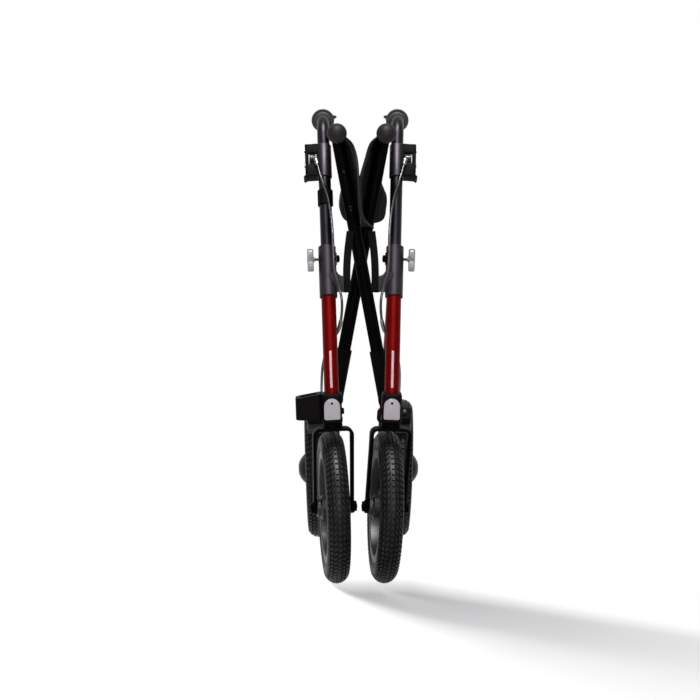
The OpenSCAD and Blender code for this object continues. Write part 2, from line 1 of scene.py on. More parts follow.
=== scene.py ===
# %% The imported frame
import bpy
import bmesh
import numpy as np
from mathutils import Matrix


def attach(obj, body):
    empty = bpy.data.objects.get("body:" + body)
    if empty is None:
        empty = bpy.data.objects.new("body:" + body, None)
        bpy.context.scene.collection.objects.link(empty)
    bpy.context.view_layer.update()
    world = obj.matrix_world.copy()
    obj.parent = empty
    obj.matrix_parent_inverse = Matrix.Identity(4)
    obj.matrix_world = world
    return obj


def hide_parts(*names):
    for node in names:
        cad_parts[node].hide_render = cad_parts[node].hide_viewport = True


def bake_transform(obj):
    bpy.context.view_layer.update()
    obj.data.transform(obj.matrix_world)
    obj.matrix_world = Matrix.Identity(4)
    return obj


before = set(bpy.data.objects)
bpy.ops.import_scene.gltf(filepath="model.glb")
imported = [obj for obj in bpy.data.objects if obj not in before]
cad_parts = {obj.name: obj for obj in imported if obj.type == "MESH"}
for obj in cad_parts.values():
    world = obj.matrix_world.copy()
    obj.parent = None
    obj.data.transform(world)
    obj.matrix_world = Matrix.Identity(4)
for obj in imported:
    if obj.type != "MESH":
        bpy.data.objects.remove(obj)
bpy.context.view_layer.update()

# %% [markdown]
# # An all terrain rollator, folded
# The frame holds the exact tubes, hinges and wheels of a folding walker with four big tyres. This
# lesson dresses it: it keeps every plain tube, gives it a finish, and replaces the pieces that need
# softer shapes, such as treaded tyres, ribbed grips, knobs, cables and the seat cloth.
#
# ## Camera
# A catalogue picture of a tall object is taken from far away with a long lens, so that both wheels
# and handles keep their proportions. The lens below sees about 17 degrees. The camera stands as high
# as the grips and looks down a little, which shows the floor between the wheels.

# %% Camera
turn, tilt = np.radians(0.472), np.radians(5.7)
camera = bpy.data.objects.new("camera", bpy.data.cameras.new("camera"))
bpy.context.collection.objects.link(camera)
camera.data.lens, camera.data.sensor_width = 122.6, 36.0
camera.location = (-0.059, -4.756, 0.897)
camera.rotation_euler = (np.pi / 2 - tilt, 0, -turn)
bpy.context.scene.camera = camera
print("camera at", tuple(round(v, 3) for v in camera.location))

# %% [markdown]
# ## Studio
# The background is plain white paper. The world lights the object evenly at a low level, and rays
# from the camera, from glossy metal and through clear pieces see white. The floor reflects its light
# and glows a little for the same rays, so it is white where nothing shades it and keeps the soft
# shadow that runs forward to the right. Behind the front wheels and far from the object it fades to the
# paper's white. One lamp stands behind on the left and casts that shadow, and is left out of reflections.
# Two soft boxes beside the camera light the tubes, whose sides fall off into the dark, and a white card
# above draws the highlights on the handle bends and the tyres.

# %% Nodes and colours
def linear(code):
    """Linear colour of an sRGB hex code: each channel c becomes ((c + 0.055) / 1.055) to the power 2.4."""
    c = np.array([int(code[i:i + 2], 16) for i in (1, 3, 5)]) / 255
    return (*np.where(c <= 0.04045, c / 12.92, ((c + 0.055) / 1.055) ** 2.4), 1.0)


def add(tree, kind, links=None, **values):
    """Adds a shader node: values are properties of the node or defaults of its sockets, links feed its sockets."""
    made = tree.nodes.new("ShaderNode" + kind)
    for key, value in values.items():
        if hasattr(made, key):
            setattr(made, key, value)
        else:
            made.inputs[key.replace("_", " ")].default_value = value
    for key, source in (links or {}).items():
        tree.links.new(source, made.inputs[key])
    return made


def new_material(name):
    """A new material and its node tree."""
    made = bpy.data.materials.new(name)
    made.use_nodes = True
    return made, made.node_tree


def two_tones(tree, factor, dark, light):
    """Colour that runs from dark to light with the factor. Sockets 6 and 7 of the mix are its two colours."""
    mix = add(tree, "Mix", {"Factor": factor}, data_type="RGBA")
    mix.inputs[6].default_value, mix.inputs[7].default_value = linear(dark), linear(light)
    return mix.outputs[2]


def seen_directly(tree):
    """One for rays from the camera, from gloss and through glass, and nought for light that scatters."""
    path = add(tree, "LightPath")
    first = add(tree, "Math", {0: path.outputs["Is Camera Ray"], 1: path.outputs["Is Glossy Ray"]},
                operation="MAXIMUM")
    return add(tree, "Math", {0: first.outputs[0], 1: path.outputs["Is Transmission Ray"]},
               operation="MAXIMUM").outputs[0]


# %% World, floor and lamps
scene = bpy.context.scene
scene.view_settings.view_transform = "Standard"
world = scene.world = bpy.data.worlds.new("white_studio")
world.use_nodes = True
sky = world.node_tree
sky.nodes.clear()
even = add(sky, "Background", Color=linear("#f4f6ff"), Strength=0.16)
paper = add(sky, "Background", Color=(1, 1, 1, 1), Strength=1.0)
both = add(sky, "MixShader", {0: seen_directly(sky), 1: even.outputs[0], 2: paper.outputs[0]})
add(sky, "OutputWorld", {"Surface": both.outputs[0]})

floor_paper, tree = new_material("white_paper_floor")
tree.nodes.clear()
spot = add(tree, "TexCoord").outputs["Object"]
fibre = add(tree, "TexNoise", {"Vector": spot}, Scale=900.0, Detail=2.0)
tone = two_tones(tree, fibre.outputs["Fac"], "#f1f1f1", "#f4f4f4")
matt = add(tree, "BsdfDiffuse", {"Color": tone})
seen = seen_directly(tree)
glow = add(tree, "Emission", {"Strength": seen}, Color=(0.16, 0.16, 0.16, 1))
lit = add(tree, "AddShader", {0: matt.outputs[0], 1: glow.outputs[0]})
away = add(tree, "VectorMath", {0: spot}, operation="LENGTH")
far = add(tree, "MapRange", {"Value": away.outputs["Value"]}, From_Min=0.35, From_Max=2.2)
# The shadow's far edge is a line that slants forward to the right: behind it the paper turns white.
place = add(tree, "SeparateXYZ", {0: spot})
right = add(tree, "MapRange", {"Value": place.outputs["X"]}, From_Min=0.09, From_Max=1.09, To_Max=0.9)
slant = add(tree, "Math", {0: right.outputs["Result"], 1: place.outputs["Y"]}, operation="ADD")
behind = add(tree, "MapRange", {"Value": slant.outputs[0]}, From_Min=-0.37, From_Max=-0.22)
either = add(tree, "Math", {0: far.outputs["Result"], 1: behind.outputs["Result"]}, operation="MAXIMUM")
open_paper = add(tree, "Math", {0: either.outputs[0], 1: seen}, operation="MULTIPLY")
white = add(tree, "Emission", Color=(1, 1, 1, 1))
fade = add(tree, "MixShader", {0: open_paper.outputs[0], 1: lit.outputs[0], 2: white.outputs[0]})
add(tree, "OutputMaterial", {"Surface": fade.outputs[0]})

floor_mesh = bpy.data.meshes.new("floor")
far_edge = 30
floor_mesh.from_pydata([(x * far_edge, y * far_edge, 0) for x, y in ((-1, -1), (1, -1), (1, 1), (-1, 1))],
                       [], [(0, 1, 2, 3)])
floor_mesh.materials.append(floor_paper)
floor = bpy.data.objects.new("floor", floor_mesh)
bpy.context.collection.objects.link(floor)


def soft_box(name, place, target, size, power):
    """A square lamp at place, facing target."""
    lamp = bpy.data.objects.new(name, bpy.data.lights.new(name, "AREA"))
    lamp.data.size, lamp.data.energy = size, power
    lamp.location = place
    aim = np.subtract(target, place)
    flat = np.hypot(aim[0], aim[1])
    lamp.rotation_euler = (np.arctan2(flat, -aim[2]), 0, np.arctan2(-aim[0], aim[1]))
    bpy.context.collection.objects.link(lamp)
    return lamp


lamps = [
    soft_box("shadow_lamp", (-1.65, 1.8, 1.4), (0.1, -0.2, 0.1), 0.9, 165),
    soft_box("front_left_box", (-0.7, -4.0, 1.5), (0, 0, 0.5), 0.7, 60),
    soft_box("front_right_box", (0.8, -3.9, 1.4), (0, 0, 0.5), 0.7, 44),
    soft_box("top_card", (0.0, -1.1, 3.2), (0, -0.1, 0.6), 1.1, 290),
]
shadow_lamp, top_card = lamps[0], lamps[-1]
shadow_lamp.visible_glossy = False
top_card.visible_diffuse = False
print("lamps", [lamp.name for lamp in lamps])

# %% [markdown]
# ## Finishes
# Each finish starts from what the real surface is. Paint, powder coat, moulded plastic and rubber all
# share one layout: a slow drift of colour and gloss over a few centimetres, and a fine grain that
# bumps the light. The sizes are real millimetres, and a grain too fine for the picture is drawn a
# little coarser, so that it still breaks up the highlights. Sharp edges of the plain frame pieces get
# a small rounding in the shading, as any moulded or filed edge has.

# %% The shared layout
def finish(name, dark, light, gloss, drift_mm, grain_mm, grain_depth, edge_mm=0.0, shade_cavity_mm=0.0, **constants):
    """A Principled finish: colour runs from dark to light and roughness between the two gloss values with
    a noise of drift_mm, and a second noise of grain_mm lifts the surface by grain_depth mm. Ambient occlusion
    darkens hollows narrower than the cavity width in mm: this is painted shade, as the light falls off in them."""
    made, tree = new_material(name)
    shader = tree.nodes["Principled BSDF"]
    where = add(tree, "TexCoord").outputs["Object"]
    drift = add(tree, "TexNoise", {"Vector": where}, Scale=1000 / drift_mm, Detail=4.0)
    colour = two_tones(tree, drift.outputs["Fac"], dark, light)
    rough = add(tree, "MapRange", {"Value": drift.outputs["Fac"]},
                From_Min=0.25, From_Max=0.75, To_Min=gloss[0], To_Max=gloss[1])
    grain = add(tree, "TexNoise", {"Vector": where}, Scale=1000 / grain_mm, Detail=2.0)
    lift = add(tree, "Bump", {"Height": grain.outputs["Fac"]}, Distance=grain_depth / 1000)
    if edge_mm:
        edge = add(tree, "Bevel", Radius=edge_mm / 1000, samples=6)
        tree.links.new(edge.outputs["Normal"], lift.inputs["Normal"])
    # Painted shade: ambient occlusion darkens the colour in narrow hollows, where light falls off.
    if shade_cavity_mm:
        hollow_shade = add(tree, "AmbientOcclusion", {"Color": colour}, Distance=shade_cavity_mm / 1000, samples=6)
        colour = hollow_shade.outputs["Color"]
    for socket, source in (("Base Color", colour), ("Roughness", rough.outputs["Result"]),
                           ("Normal", lift.outputs["Normal"])):
        tree.links.new(source, shader.inputs[socket])
    for socket, value in constants.items():
        shader.inputs[socket.replace("_", " ")].default_value = value
    return made


# %% Paint, coats and metals
# Red enamel over aluminium: deep colour, a little metallic, with one soft highlight along the tube.
red_enamel = finish("red_enamel_on_aluminium", "#520000", "#600000", (0.36, 0.44), 60, 0.7, 0.004, 0.6,
                    Metallic=0.3, Specular_IOR_Level=0.03)
# Powder coat on steel: nearly black, satin, with the soft dimples of baked powder about a millimetre wide.
powder_black = finish("black_powder_coat", "#020202", "#050405", (0.42, 0.54), 40, 1.1, 0.02, 0.6,
                      Specular_IOR_Level=0.015)
# Anodised aluminium tube: dark violet grey metal with long cool highlights.
anodised = finish("dark_anodised_aluminium", "#0f0c11", "#151218", (0.30, 0.38), 30, 0.5, 0.003, 0.5,
                  Metallic=0.85)
# Painted clamp castings and sleeves: dark grey, satin, a trace of metal in the paint.
satin_grey = finish("satin_grey_paint", "#1e1b20", "#28242a", (0.38, 0.48), 35, 0.9, 0.012, 0.8,
                    Metallic=0.6, Specular_IOR_Level=0.2)
# Zinc plated steel: middle grey, slightly yellow, with the fine scratches of tumbled screws.
zinc = finish("zinc_plated_steel", "#62605d", "#83817d", (0.26, 0.42), 9, 0.5, 0.006, 0.3, Metallic=1.0)
# Brass screw: warm yellow metal, a little dull.
brass = finish("turned_brass", "#6a5626", "#85703c", (0.30, 0.42), 6, 0.4, 0.005, Metallic=1.0)

# %% Plastics and rubbers
# Glass filled nylon: black, spark eroded grain about 0.8 mm wide, mild gloss.
nylon = finish("black_glass_filled_nylon", "#070506", "#0e0b0c", (0.45, 0.58), 30, 0.8, 0.03, 0.7,
               Specular_IOR_Level=0.02)
# End balls: smooth black polypropylene, matt, with soft round lights.
ball_plastic = finish("black_polypropylene", "#171416", "#1f1b1e", (0.50, 0.60), 25, 0.8, 0.01, 0.4,
                      Specular_IOR_Level=0.1)
# Hub caps: the same plastic polished in the mould.
cap_plastic = finish("polished_polypropylene", "#0b090a", "#110e10", (0.28, 0.36), 25, 0.8, 0.006, 0.4,
                     Specular_IOR_Level=0.12)
# Grey knobs: moulded ABS, evenly coloured, satin.
knob_grey = finish("grey_abs", "#7b7b7e", "#8a8a8d", (0.38, 0.48), 20, 0.7, 0.012, 0.5)
# Pale plates on the caster heads: flat grey polycarbonate.
plate_grey = finish("pale_grey_polycarbonate", "#908a8f", "#9c969a", (0.34, 0.44), 22, 0.8, 0.01, 0.4)
# Rims: nylon with a little aluminium pigment, dark and slightly mottled.
rim_grey = finish("dark_grey_nylon", "#131114", "#1d1b1e", (0.38, 0.50), 14, 0.7, 0.012, 0.6, Metallic=0.15)
# Tyres: vulcanised rubber, charcoal, dull, with a bloom of dust; painted shade darkens the grooves of the tread.
rubber = finish("tyre_rubber", "#0e0c0d", "#1a1718", (0.40, 0.54), 16, 0.6, 0.04,
                shade_cavity_mm=5, Specular_IOR_Level=0.14)
# Grips: soft moulded elastomer, finely sanded.
grip_rubber = finish("grip_elastomer", "#1a181b", "#242227", (0.50, 0.62), 18, 0.5, 0.02,
                     Specular_IOR_Level=0.25)
# Brake blocks: harder rubber, a little grey with dust.
brake_rubber = finish("brake_block_rubber", "#1b1a1a", "#292727", (0.6, 0.75), 12, 0.7, 0.03, 0.6)
# Cable sheath: extruded vinyl over steel, dark grey with a clear narrow highlight.
vinyl = finish("cable_vinyl", "#171517", "#242224", (0.20, 0.28), 20, 0.9, 0.004)
# Reflective tape: pale film with tiny glass beads drawn coarser than they are; its pink is a painted reflection of the
# red paint around it.
bead_tape = finish("beaded_reflective_tape", "#b98a90", "#cca5aa", (0.36, 0.46), 8, 0.8, 0.02)
print("finishes", len(bpy.data.materials))

# %% [markdown]
# ## The plain frame pieces
# Tubes, brackets and bolts of the frame already have their true shape, so they stay and only get a
# finish. A table of name beginnings gives each one its own.

# %% Finishes for the frame's own pieces
plain = {
    "front_leg": red_enamel, "rear_leg": red_enamel, "lower_rail": powder_black, "strut_a": powder_black,
    "strut_b": powder_black, "seat_rail": powder_black, "stem": anodised, "clamp_sleeve": satin_grey,
    "rail_saddle": satin_grey, "strut_socket": nylon, "pivot_bolt": powder_black, "rear_axle": zinc,
    "rail_caps": ball_plastic, "rear_bracket": nylon, "brake_bracket": nylon, "brake_shoe": brake_rubber,
    "cane_band": nylon,
}
for name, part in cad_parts.items():
    for start, look in plain.items():
        if name.startswith(start):
            part.data.materials.clear()
            part.data.materials.append(look)
print("plain pieces finished")

# %% [markdown]
# ## Shapes from arrays
# Every new piece is a grid of points that numpy works out at once: a round profile turned about an
# axis, a loop carried along a path, or an outline stacked with rounded edges. The grid goes into a
# mesh as it is. Doubled points at seams and poles are merged, and the faces are turned outwards.

# %% Places on the rollator, in millimetres
HALF_TRACK, LEAN, YAW = 44.5, np.radians(1.9), np.radians(4.6)
LEG_SLOPE, LEG_Z, TRAIL = np.radians(25), 340.0, 50.0
WHEEL_R, TYRE_W, REAR_OUT = 146.0, 46.0, 39.0
Y_FRONT, Y_REAR = -250.20, 249.80
Y_STEER = Y_FRONT - TRAIL * np.cos(YAW)
FRONT_AXLE_Z = WHEEL_R - TYRE_W / 2 + TYRE_W / 2 / np.cos(LEAN)
REAR_AXLE_Z = FRONT_AXLE_Z + REAR_OUT * np.tan(LEAN)
PIVOT_Y, PIVOT_Z, STRUT_OFF, STRUT_LEAN = -120, 606.38, 14, np.arcsin(50 / 273)
KNOB = np.array([0, 0, 304])
CLAMP_FOOT = np.array([0, 0, 474.0])
LEVER_PIVOT = (22.5, -77.6, 793.5)
GRIP_FRONT = (0, -14.1, 881)
SIDES = {"left": -1, "right": 1}


def side(s, p):
    """A point of a side frame, in metres: leaned outwards by the lean angle, moved out by half the track,
    and mirrored where s is -1."""
    x, y, z = np.moveaxis(np.asarray(p, float), -1, 0)
    out = HALF_TRACK + x * np.cos(LEAN) + z * np.sin(LEAN)
    return np.stack([s * out, y, z * np.cos(LEAN) - x * np.sin(LEAN)], -1) / 1000


def on_leg(p):
    """From (outward, rearward, along the front leg) to the axes of the side frame."""
    x, n, t = np.moveaxis(np.asarray(p, float), -1, 0)
    return np.stack([x, Y_STEER + t * np.sin(LEG_SLOPE) + n * np.cos(LEG_SLOPE),
                     LEG_Z + t * np.cos(LEG_SLOPE) - n * np.sin(LEG_SLOPE)], -1)


def leg_side(s, p):
    """A point given along the front leg, put in its side frame."""
    return side(s, on_leg(p))


def caster(s, p):
    """A point of a caster: turned about the upright steering line by the yaw, then put in its side frame."""
    x, y, z = np.moveaxis(np.asarray(p, float), -1, 0)
    a = s * YAW
    return side(s, np.stack([x * np.cos(a) - y * np.sin(a), Y_STEER + x * np.sin(a) + y * np.cos(a), z], -1))


def front_wheel(s, p):
    """A point of a front wheel, given from the middle of its hub."""
    return caster(s, np.asarray(p, float) + (0, TRAIL, FRONT_AXLE_Z))


def rear_wheel(s, p):
    """A point of a rear wheel, given from the middle of its hub."""
    return side(s, np.asarray(p, float) + (REAR_OUT, Y_REAR, REAR_AXLE_Z))


# %% Grids, loops and sweeps
X_AXIS, Y_AXIS, Z_AXIS = np.eye(3)


def lathe(profile, n=64):
    """Turns a profile of (place along X, radius) about the X axis: y = r cos a, z = r sin a."""
    x, r = np.asarray(profile, float).T
    a = np.linspace(0, 2 * np.pi, n, endpoint=False)
    return np.stack([np.broadcast_to(x[:, None], (len(x), n)), r[:, None] * np.cos(a), r[:, None] * np.sin(a)], -1)


def rounded_square(w, l, r, n=6):
    """Loop of a rectangle w by l with corners of radius r: a quarter circle of n points about each corner."""
    a = (np.arange(4)[:, None] + np.linspace(0, 1, n)[None, :]) * np.pi / 2
    w, l, r = (np.asarray(v, float)[..., None, None] for v in (w, l, r))
    cx = np.array([1, -1, -1, 1])[:, None] * (w / 2 - r)
    cy = np.array([1, 1, -1, -1])[:, None] * (l / 2 - r)
    loop = np.stack([cx + r * np.cos(a), cy + r * np.sin(a)], -1)
    return loop.reshape(loop.shape[:-3] + (4 * n, 2))


def stacked(outline, low, high, b, n=5):
    """Stacks an outline between two heights, with its edges rounded by a quarter circle of radius b:
    at angle a the outline is drawn in by b (1 - sin a) and stands b (1 - cos a) from the end."""
    a = np.linspace(0, np.pi / 2, n)
    inset = b * (1 - np.sin(a))
    rise = b * (1 - np.cos(a))
    loops = np.stack([outline(i) for i in np.concatenate([inset, inset[::-1]])])
    h = np.concatenate([low + rise, high - rise[::-1]])
    return capped(np.concatenate([loops, np.broadcast_to(h[:, None, None], loops.shape[:2] + (1,))], -1))


def capped(rings):
    """Closes a stack of rings with a middle point at each end."""
    ends = [np.broadcast_to(rings[k].mean(0), rings[k].shape)[None] for k in (0, -1)]
    return np.concatenate([ends[0], rings, ends[1]])


def sweep(path, loop, across):
    """Carries a loop of (u, v) along a path: u runs along `across` made square to the path, v square to both."""
    t = np.gradient(path, axis=0)
    t /= np.linalg.norm(t, axis=1, keepdims=True)
    u = across - (t * across).sum(1, keepdims=True) * t
    u /= np.linalg.norm(u, axis=1, keepdims=True)
    v = np.cross(t, u)
    loop = np.broadcast_to(loop, (len(path),) + np.shape(loop)[-2:])
    return capped(path[:, None] + loop[..., :1] * u[:, None] + loop[..., 1:] * v[:, None])


def circle(r, n=24):
    """Loop of n points at the distance r."""
    a = np.linspace(0, 2 * np.pi, n, endpoint=False)
    return np.stack([r * np.cos(a), r * np.sin(a)], -1)


def smooth_path(points, steps=10):
    """Catmull-Rom curve through the points, the curve that passes each point parallel to its neighbours' chord."""
    p = np.asarray(points, float)
    p = np.concatenate([2 * p[:1] - p[1:2], p, 2 * p[-1:] - p[-2:-1]])
    a, b, c, d = p[:-3, None], p[1:-2, None], p[2:-1, None], p[3:, None]
    u = (np.arange(steps) / steps)[None, :, None]
    curve = 0.5 * (2 * b + (c - a) * u + (2 * a - 5 * b + 4 * c - d) * u**2 + (3 * b - a - 3 * c + d) * u**3)
    return np.concatenate([curve.reshape(-1, 3), p[-2:-1]])


def block(x0, x1, y0, y1, z0, z1, r):
    """Box between the given limits with all its edges rounded by r."""
    grid = stacked(lambda i: rounded_square(x1 - x0 - 2 * i, y1 - y0 - 2 * i, max(r - i, 0.05)), z0, z1, r)
    return grid + ((x0 + x1) / 2, (y0 + y1) / 2, 0)


# %% From grids to a piece
def piece(name, grids, look, slot, body=None, hides=(), wrap=(False, True), sharp=34):
    """Makes one object from grids of points in metres. wrap says whether rows and columns close on
    themselves. The piece rides on the body and stands for the frame's pieces in hides."""
    verts, faces, first = [], [], 0
    for grid in grids:
        rows, cols = grid.shape[:2]
        i = np.arange(rows if wrap[0] else rows - 1)[:, None]
        j = np.arange(cols if wrap[1] else cols - 1)[None, :]
        i2, j2 = (i + 1) % rows, (j + 1) % cols
        corner = [i * cols + j, i * cols + j2, i2 * cols + j2, i2 * cols + j]
        faces.append(np.stack(np.broadcast_arrays(*corner), -1).reshape(-1, 4) + first)
        verts.append(grid.reshape(-1, 3))
        first += rows * cols
    mesh = bpy.data.meshes.new(name)
    mesh.from_pydata(np.concatenate(verts), [], np.concatenate(faces).tolist())
    work = bmesh.new()
    work.from_mesh(mesh)
    bmesh.ops.remove_doubles(work, verts=work.verts, dist=2e-7)
    bmesh.ops.dissolve_degenerate(work, edges=work.edges, dist=1e-7)
    bmesh.ops.recalc_face_normals(work, faces=work.faces)
    work.to_mesh(mesh)
    work.free()
    mesh.shade_smooth()
    mesh.set_sharp_from_angle(angle=np.radians(sharp))
    mesh.materials.append(look)
    made = bpy.data.objects.new(name, mesh)
    bpy.context.collection.objects.link(made)
    if body:
        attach(made, body)
    if hides:
        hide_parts(*hides)
    print(name, len(mesh.polygons), "faces")
    return made


def pair(label, put, grids, look, slot, body, hides=None, **more):
    """Makes a piece on each side: put places its grids there, and all the names end in the name of the side."""
    for name, s in SIDES.items():
        piece(f"{label}_{name}", [put(s, g) for g in grids], look, slot, f"{body}_{name}",
              [f"{hides}_{name}"] if hides else (), **more)


# %% [markdown]
# ## Tyres
# The tyres carry rows of blocks in an arrow pattern. A row repeats about every twelve millimetres and is
# shifted by half of that against the next. A displacement map would need a very fine mesh to keep the
# edges of such blocks crisp. Here the mesh lines run along the grooves instead: each block has its own
# four lines, and the grid is sheared into the arrow shape, so few faces give clean edges.

# %% Treaded tyre
def tread_tyre(pitches=78, columns=7, groove=2.6):
    """Torus of section radius TYRE_W / 2. Around the wheel each pitch has four lines at 0, 22, 30 and 92
    percent, across it each column has four more; a point is lowered by the groove depth unless it lies on a
    block in both ways. Each line is shifted round the wheel by 0.55 pitches per column away from the
    middle, and by half a pitch in every other column."""
    u = (np.arange(pitches)[:, None] + np.array([0, 0.22, 0.30, 0.92])).ravel()
    u_high = np.tile([0, 0, 1, 1], pitches)
    v = (np.arange(columns)[:, None] + np.array([0.09, 0.16, 0.84, 0.91])).ravel()
    v_high = np.tile([0, 1, 1, 0], columns)
    shift = 0.55 * np.abs(v - columns / 2) + 0.5 * (np.floor(v) % 2)
    shoulder = 72
    wall = np.array([shoulder, 77, 84, 90, 96, 100, 104, 110, 118, 126, 132, 137.6])
    wall_dip = np.array([2.0, 1.5, 1.0, 0.9, 0.9, 0.3, 0.3, 0.9, 0.9, 0.6, 0.2, 0.0])
    n = len(wall)
    phi = np.radians(np.concatenate([-wall[::-1], -shoulder + 2 * shoulder / columns * v, wall]))
    block_here = np.concatenate([np.zeros(n), v_high, np.zeros(n)])
    dip = np.concatenate([wall_dip[::-1], np.full(len(v), groove), wall_dip])
    shift = np.concatenate([np.full(n, shift[0]), shift, np.full(n, shift[-1])])
    r = TYRE_W / 2 - dip * (1 - u_high[:, None] * block_here)
    a = 2 * np.pi * (u[:, None] + shift) / pitches
    ring = WHEEL_R - TYRE_W / 2 + r * np.cos(phi)
    return np.stack([r * np.sin(phi), ring * np.cos(a), ring * np.sin(a)], -1)


tyre = tread_tyre()
for end, put in (("front", front_wheel), ("rear", rear_wheel)):
    pair(f"tread_{end}", put, [tyre], rubber, "tyre_rubber", f"{end}_wheel", f"{end}_tyre", wrap=(True, True), sharp=30)

# %% [markdown]
# ## Rims and hub caps
# The rims are moulded in one piece: a ring with two lips for the tyre's beads, five pairs of slightly
# tapered spokes, and a hub. The ring and hub are turned profiles, and a spoke is a rounded rectangle
# carried outwards while it gets slimmer. Deep domed caps close the outer ends of the rear hubs.

# %% Moulded rim
def moulded_rim(hub_w):
    """Ring profile closed on itself, ten spokes on lines 14.9 degrees beside each of five directions, hub profile."""
    ring = [(-18.7, 94), (-8, 92.8), (8, 92.8), (18.7, 94), (19.9, 95.2), (19.9, 107.2), (19.1, 108), (18.4, 108),
            (17.8, 107.2), (17.5, 105.8), (-17.5, 105.8), (-17.8, 107.2), (-18.4, 108), (-19.1, 108),
            (-19.9, 107.2), (-19.9, 95.2), (-18.7, 94)]
    h = hub_w / 2
    hub = [(-h, 6.3), (-h, 17), (-h + 1, 18.2), (-h + 7, 18.6), (-h + 9, 22), (-h + 10, 23), (h - 10, 23),
           (h - 9, 22), (h - 7, 18.6), (h - 1, 18.2), (h, 17), (h, 6.3), (-h, 6.3)]
    reach = np.linspace(18, 95, 12)
    k = (reach[-1] - reach) / (reach[-1] - reach[0])
    loop = rounded_square(8.2 + 2.6 * k**2, 10.5 + 3.5 * k, np.full(12, 2.6))
    spokes = []
    for mid in np.radians(np.arange(5) * 72):
        for off in np.radians([-14.9, 14.9]):
            out = np.array([0, np.cos(mid + off), np.sin(mid + off)])
            path = reach[:, None] * out
            spokes.append(sweep(path, loop, np.cross(out, X_AXIS)))
    return [lathe(ring, 96), lathe(hub, 64)] + spokes


def hub_dome():
    """Turned cap: a straight skirt, a small step, then a dome of radius 39.5 that ends in a shallow dimple."""
    skirt = [(7.3, 23.3), (7.3, 29.6), (8.6, 31), (21.5, 31), (22.3, 30.2), (23.2, 30.2)]
    r, top, ball = np.linspace(30.4, 9.0, 14), 39, 39.53
    dome = np.stack([top - ball + np.sqrt(ball**2 - r**2), r], -1)
    dimple = [(37.3, 8.2), (36.4, 7.6), (36.2, 4), (36.2, 0)]
    back = [(33, 0), (33, 13.2), (24.3, 13.2), (24.3, 23.3), (7.3, 23.3)]
    return lathe(np.concatenate([skirt, dome, dimple, back]), 96)


pair("rim_front", front_wheel, moulded_rim(64), rim_grey, "rim_grey", "front_wheel", "front_rim")
pair("rim_rear", rear_wheel, moulded_rim(48), rim_grey, "rim_grey", "rear_wheel", "rear_rim")
pair("dome_cap", rear_wheel, [hub_dome()], cap_plastic, "black_plastic", "rear_wheel", "hub_cap")

# %% [markdown]
# ## Forks and axle nuts
# Each fork is one strip of steel, cut with legs that trail backwards and bent twice into an upside
# down U. The strip is a rounded rectangle carried along that U, with its width and its setback worked
# out from the height, so the lower ends close in half circles round the axle.

# %% Bent fork and its nuts
def bent_fork():
    """Path: up one leg, a quarter circle of 11 mm, across the crown and down again. At height z the strip's
    middle lies TRAIL * k behind the steering line, k growing evenly from 0 at the crown to 1 at the axle,
    and its half width shrinks from 17 to 14 mm, then along a half circle round the axle."""
    leg_x, bend, crown, end_r = 35.5, 11.0, 303.0, 14
    up = np.concatenate([FRONT_AXLE_Z - (end_r - 0.05) * np.cos(np.linspace(0, np.pi / 2, 12)),
                         np.linspace(FRONT_AXLE_Z + 6, crown - bend - 1, 26)])
    arc = np.linspace(np.pi, np.pi / 2, 9)
    x = np.concatenate([np.full(len(up), -leg_x), bend - leg_x + bend * np.cos(arc), np.linspace(-22, 0, 6)])
    z = np.concatenate([up, crown - bend + bend * np.sin(arc), np.full(6, crown)])
    x, z = np.concatenate([x, -x[-2::-1]]), np.concatenate([z, z[-2::-1]])
    k = (288 - z) / (288 - FRONT_AXLE_Z)
    y = TRAIL * (k + np.sqrt(k**2 + 0.004)) / 2 * np.where(z > 296, 0, 1)
    low = np.clip(FRONT_AXLE_Z - z, 0, end_r - 0.04)
    half = np.minimum(end_r + 3 * np.clip((z - 262) / 30, 0, 1),
                      np.where(low > 0, np.sqrt(end_r**2 - low**2), 99))
    t = np.stack([np.gradient(x), np.gradient(z)], -1)
    t /= np.linalg.norm(t, axis=1, keepdims=True)
    loop = rounded_square(2 * half, np.full(len(x), 6.0), np.minimum(half, 1.3) * 0.999)
    middle = np.stack([x, y, z], -1)[:, None]
    thick = np.stack([-t[:, 1], 0 * x, t[:, 0]], -1)[:, None]
    return capped(middle + loop[..., :1] * Y_AXIS + loop[..., 1:] * thick)


def hex_nut(start, across=9.2, out=1):
    """Washer, six sided nut and domed end along X: the radius of a flat side is across / cos of the angle from it."""
    a = np.linspace(0, 2 * np.pi, 60, endpoint=False)
    six = across / np.cos((a % (np.pi / 3)) - np.pi / 6)
    rows = [(0, 0 * a + 6.2), (0, 0 * a + 12), (1.4, 0 * a + 12), (1.4, six * 0.97), (2, six), (5, six),
            (5.7, np.minimum(six, 9.6)), (5.7, 0 * a + 5.6), (6.4, 0 * a + 5.2), (6.9, 0 * a + 3), (6.9, 0 * a)]
    return np.stack([np.stack([0 * a + start + out * h, r * np.cos(a), r * np.sin(a)], -1) for h, r in rows])


fork, cup = bent_fork(), lathe([(0, 0), (0, 17.4), (0.8, 18.4), (8.6, 18.4), (9.4, 17.6), (9.4, 0)], 48)
cup = cup[..., [1, 2, 0]] + (0, 0, 306)
nuts = [hex_nut(38.55), hex_nut(-38.55, out=-1), lathe([(-39, 0), (-39, 5.9), (39, 5.9), (39, 0)], 32)]
pair("strip_fork", caster, [fork, cup], powder_black, "black_tube", "caster", "fork")
pair("axle_nuts", front_wheel, nuts, powder_black, "steel", "caster", "front_axle")

# %% [markdown]
# ## Caster heads, plates and reflective strips
# A moulded block joins each front leg to its steering tube. Its front carries a pale plate with an
# arched top, plain and without print, held by one small screw. The block and the plate are outlines
# stacked with rounded edges. A narrow strip of reflective tape follows the front of each red leg.

